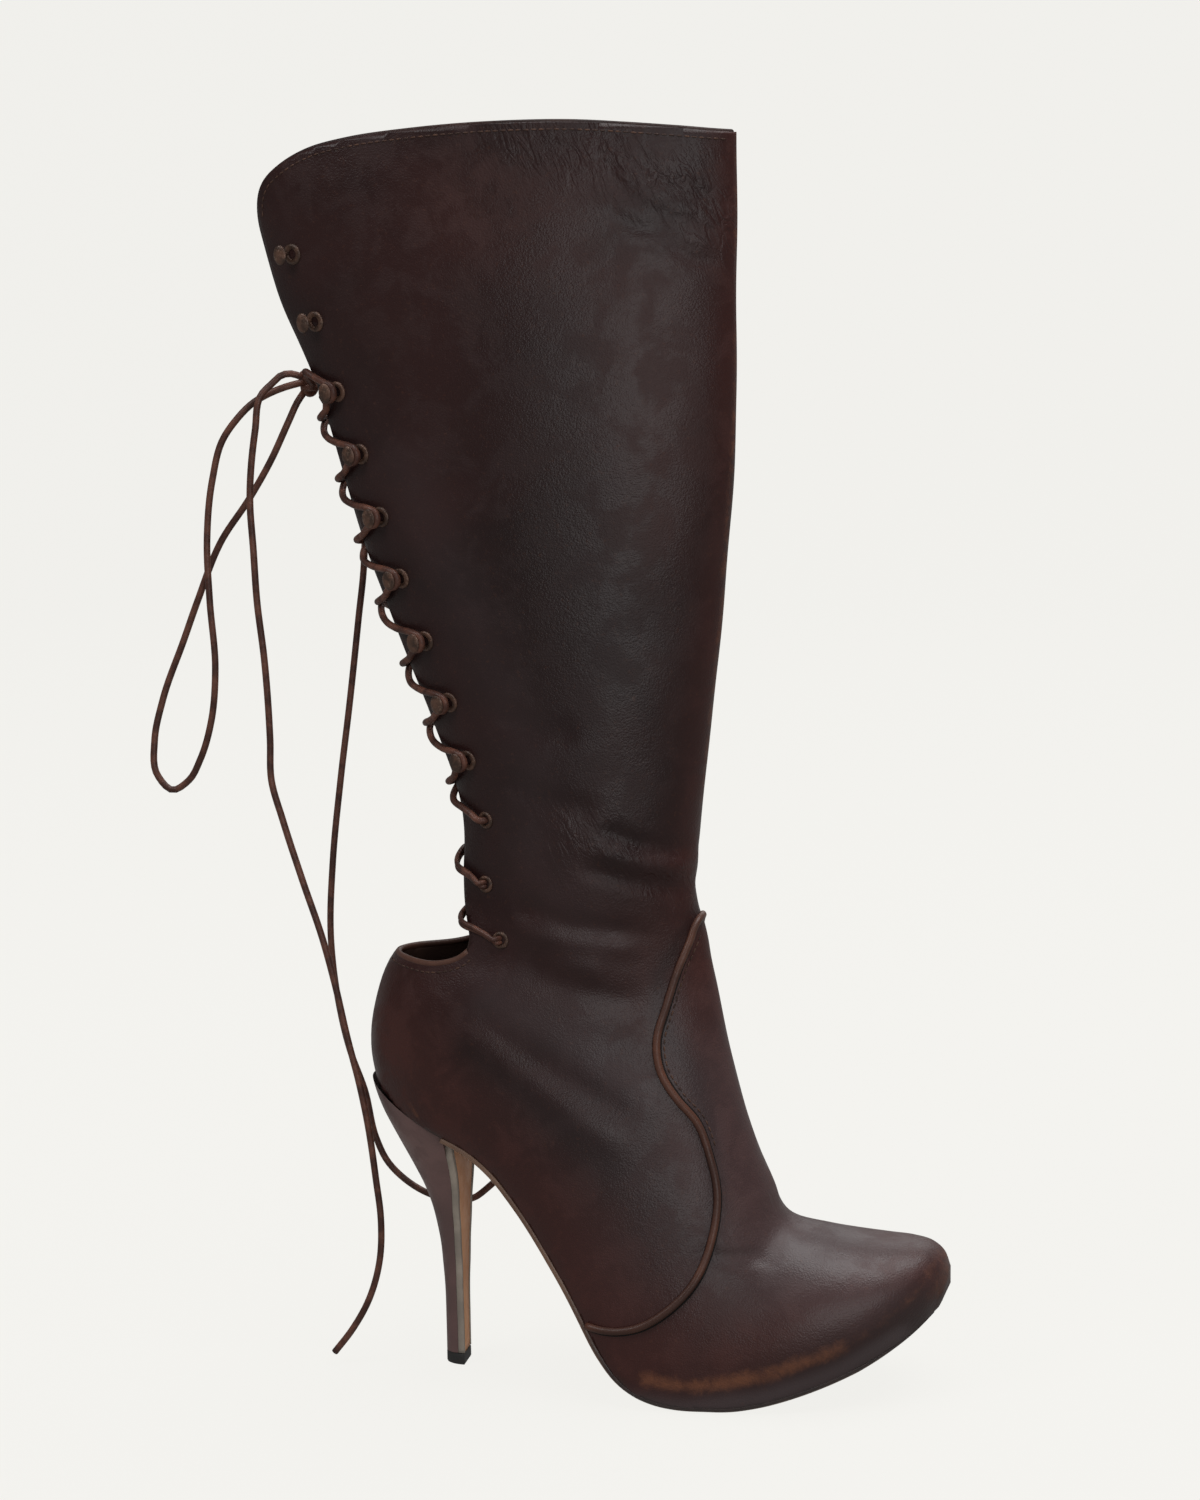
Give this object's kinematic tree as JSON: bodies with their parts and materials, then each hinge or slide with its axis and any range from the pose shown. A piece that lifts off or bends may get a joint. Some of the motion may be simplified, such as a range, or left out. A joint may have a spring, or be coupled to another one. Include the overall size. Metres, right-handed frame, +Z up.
{
  "type": "corset-back boot",
  "caption": "Knee-high dark brown leather boot with an open laced back, covered platform and slender covered heel.",
  "frame": {"origin": "middle of the heel tip's underside, on the floor", "axes": "+X from the heel to the toe, +Y to the inner side of the foot, +Z up"},
  "size_m": [0.3023, 0.0826, 0.4671],
  "materials": {
    "upper_leather": "burnished",
    "piping_leather": "satin",
    "insole_leather": "matt",
    "platform_board": "matt",
    "sole_leather": "satin",
    "heel_leather": "burnished",
    "lift_rubber": "matt",
    "eyelet_enamel": "satin",
    "lace_leather": "satin"
  },
  "bodies": {
    "root": {"upper": "upper_leather", "vamp_piping": "piping_leather", "insole": "insole_leather", "platform": "platform_board", "outsole": "sole_leather", "heel": "heel_leather", "top_lift": "lift_rubber", "eyelet_near_1": "eyelet_enamel", "eyelet_near_2": "eyelet_enamel", "eyelet_near_3": "eyelet_enamel", "eyelet_far_1": "eyelet_enamel", "eyelet_far_2": "eyelet_enamel", "eyelet_far_3": "eyelet_enamel", "hook_near_1": "eyelet_enamel", "hook_near_2": "eyelet_enamel", "hook_near_3": "eyelet_enamel", "hook_near_4": "eyelet_enamel", "hook_near_5": "eyelet_enamel", "hook_near_6": "eyelet_enamel", "hook_near_7": "eyelet_enamel", "hook_near_8": "eyelet_enamel", "hook_near_9": "eyelet_enamel", "hook_far_1": "eyelet_enamel", "hook_far_2": "eyelet_enamel", "hook_far_3": "eyelet_enamel", "hook_far_4": "eyelet_enamel", "hook_far_5": "eyelet_enamel", "hook_far_6": "eyelet_enamel", "hook_far_7": "eyelet_enamel", "hook_far_8": "eyelet_enamel", "hook_far_9": "eyelet_enamel", "lace_bar_1": "lace_leather", "lace_bar_2": "lace_leather", "lace_crossings": "lace_leather", "lace_knot": "lace_leather", "lace_loop": "lace_leather", "lace_end_near": "lace_leather", "lace_end_far": "lace_leather"}
  },
  "joints": []
}
